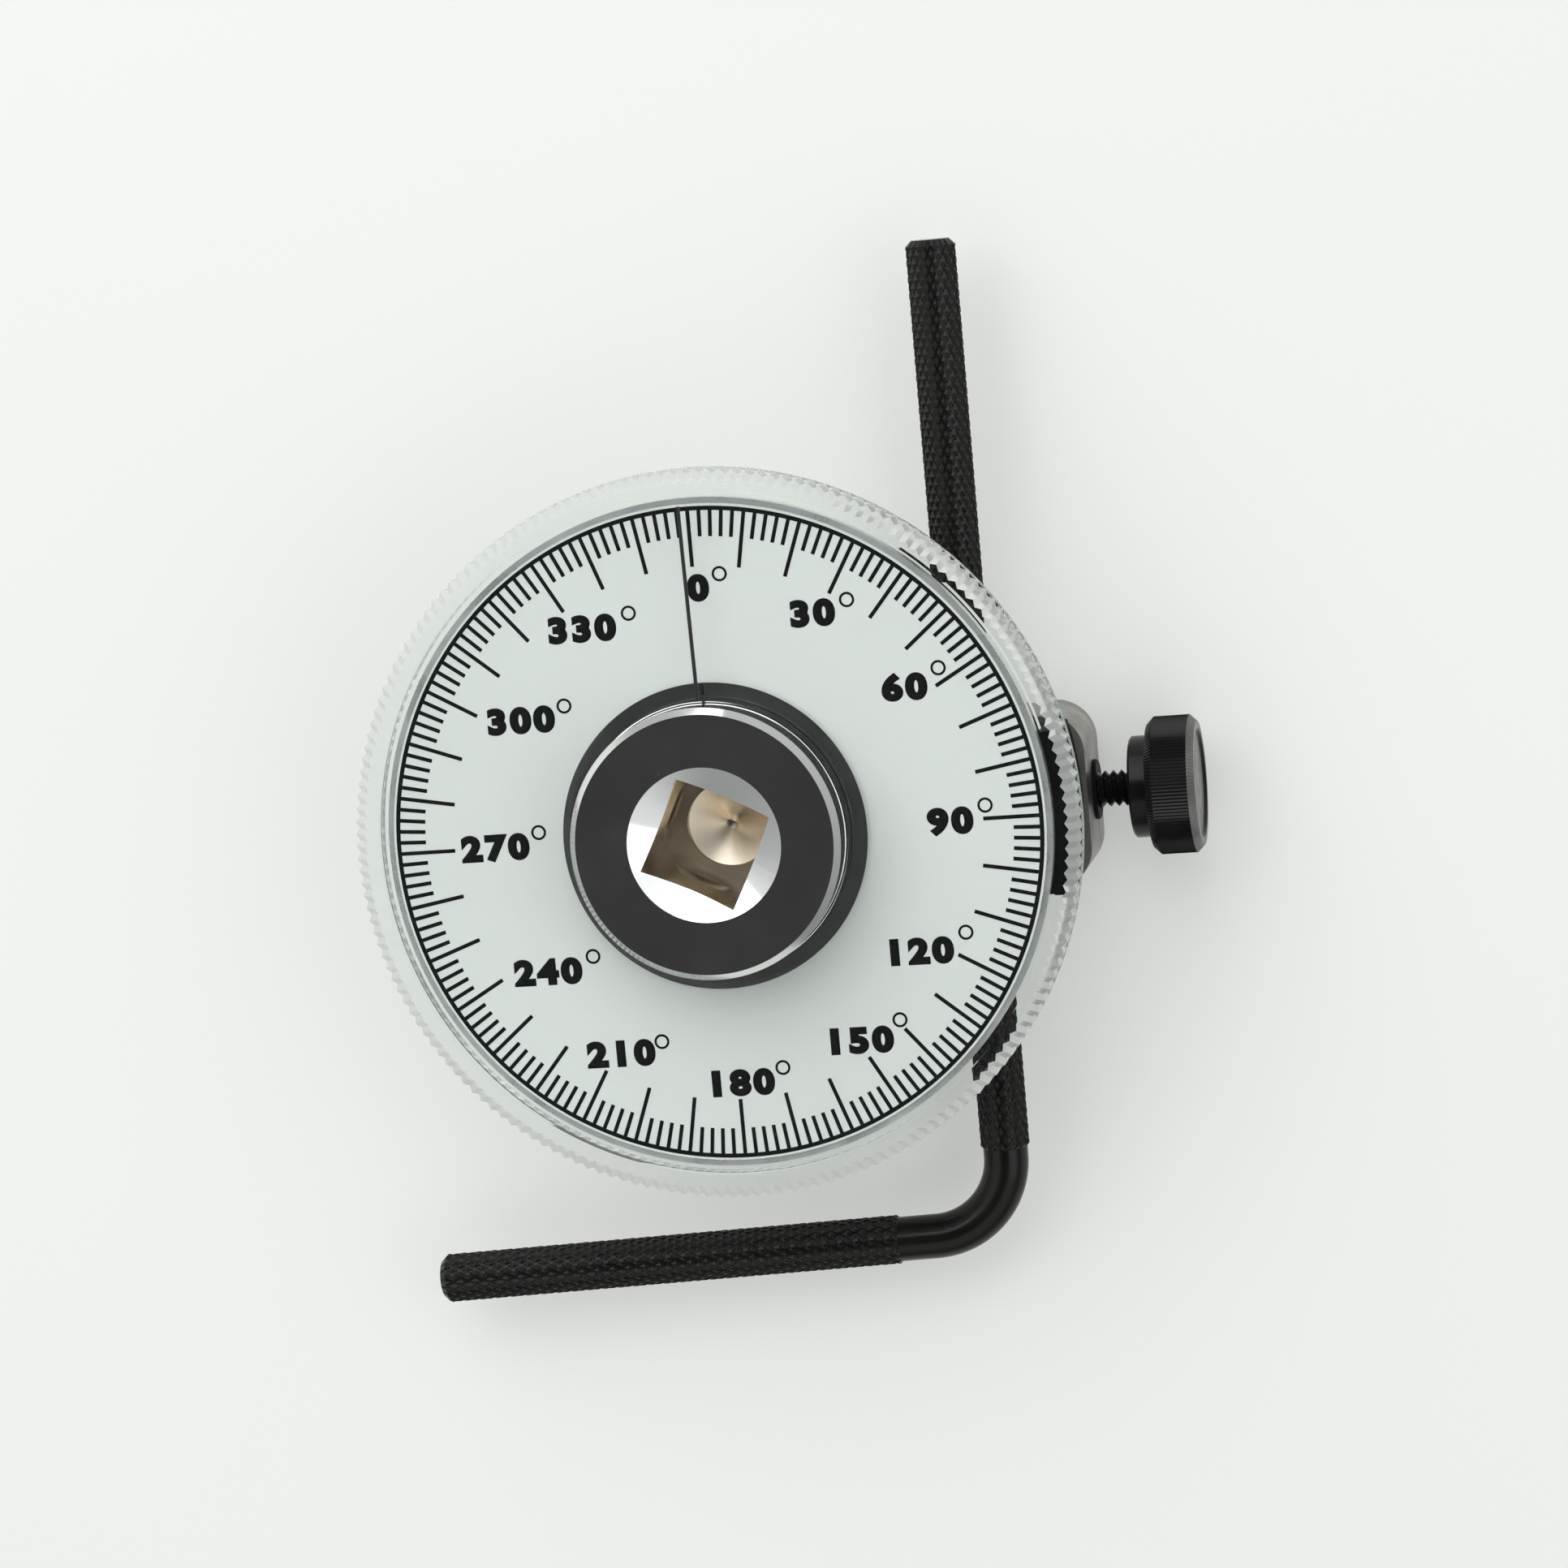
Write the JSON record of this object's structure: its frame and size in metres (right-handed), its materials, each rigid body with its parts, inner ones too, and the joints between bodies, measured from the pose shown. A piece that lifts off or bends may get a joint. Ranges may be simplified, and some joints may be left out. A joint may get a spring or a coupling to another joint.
{
  "type": "torque angle gauge",
  "caption": "Torque angle gauge: square-drive spindle through a degree dial with a clear knurled pointer disc, and an L-shaped reaction rod held by a thumbscrew clamp.",
  "frame": {"origin": "centre of the male square's tip face, on the drive axis", "axes": "+Z along the drive axis towards the wrench socket, +X towards the dial's 90 degree mark and the clamp, +Y towards the dial's 0 degree mark"},
  "size_m": [0.1072, 0.1368, 0.0375],
  "materials": {
    "chrome_plate": "polished",
    "bright_steel": "plain",
    "spring_steel": "phosphated",
    "nylon": "matt",
    "bronze": "sintered",
    "black_steel": "satin black",
    "plate_metal": "satin",
    "dial_print": "silver-white sheet with black print",
    "clear_acrylic": "clear, polished",
    "black_fill": "paint filled",
    "rubber": "matt",
    "grey_strap": "dull plated",
    "black_oxide": "black oxide, knurled",
    "brass": "plain"
  },
  "bodies": {
    "dial": {"carrier": "black_steel", "bushing": "bronze", "dial_plate": "plate_metal", "dial_face": "dial_print", "dial_screws": "bright_steel", "thrust_washer": "nylon", "clamp_block": "black_steel", "block_screws": "black_oxide", "clamp_strap": "grey_strap", "strap_rivets": "bright_steel", "thread_bush": "black_steel"},
    "spindle": {"spindle": "chrome_plate", "retaining_ring": "spring_steel", "spacer_washer": "bright_steel", "friction_ring": "rubber", "detent_spring": "spring_steel"},
    "pointer": {"pointer_disc": "clear_acrylic", "pointer_line": "black_fill"},
    "ball": {"detent_ball": "bright_steel"},
    "sleeve": {"clamp_sleeve": "bright_steel"},
    "rod": {"reaction_rod": "black_oxide"},
    "pad": {"pressure_pad": "brass"},
    "thumbscrew": {"thumbscrew": "black_oxide"}
  },
  "joints": [
    {"name": "spindle_turn", "type": "hinge", "parent": "dial", "child": "spindle", "pos_m": [0, 0, 0], "axis": [0, 0, 1], "continuous": true},
    {"name": "pointer_turn", "type": "hinge", "parent": "spindle", "child": "pointer", "pos_m": [0, 0, 0.03], "axis": [0, 0, 1], "continuous": true},
    {"name": "ball_press", "type": "slide", "parent": "spindle", "child": "ball", "axis": [0.8988, -0.4384, 0], "range_m": [-0.001, 0], "stiffness_N_per_m": 1000, "springref_m": 0.001, "deforming": ["detent_spring"]},
    {"name": "rod_turn", "type": "hinge", "parent": "dial", "child": "sleeve", "pos_m": [0.0307, 0, 0.009], "axis": [0, 1, 0], "continuous": true},
    {"name": "rod_slide", "type": "slide", "parent": "sleeve", "child": "rod", "axis": [0, 1, 0], "range_m": [-0.055, 0.007]},
    {"name": "pad_slide", "type": "slide", "parent": "dial", "child": "pad", "axis": [1, 0, 0], "range_m": [0, 0.003]},
    {"name": "screw_turn", "type": "hinge", "parent": "pad", "child": "thumbscrew", "pos_m": [0.055, 0, 0.009], "axis": [1, 0, 0], "range_deg": [0, 1021]}
  ],
  "couplings": [
    {"joint": "screw_turn", "follows": "pad_slide", "rad_per_m": 5938.7}
  ]
}
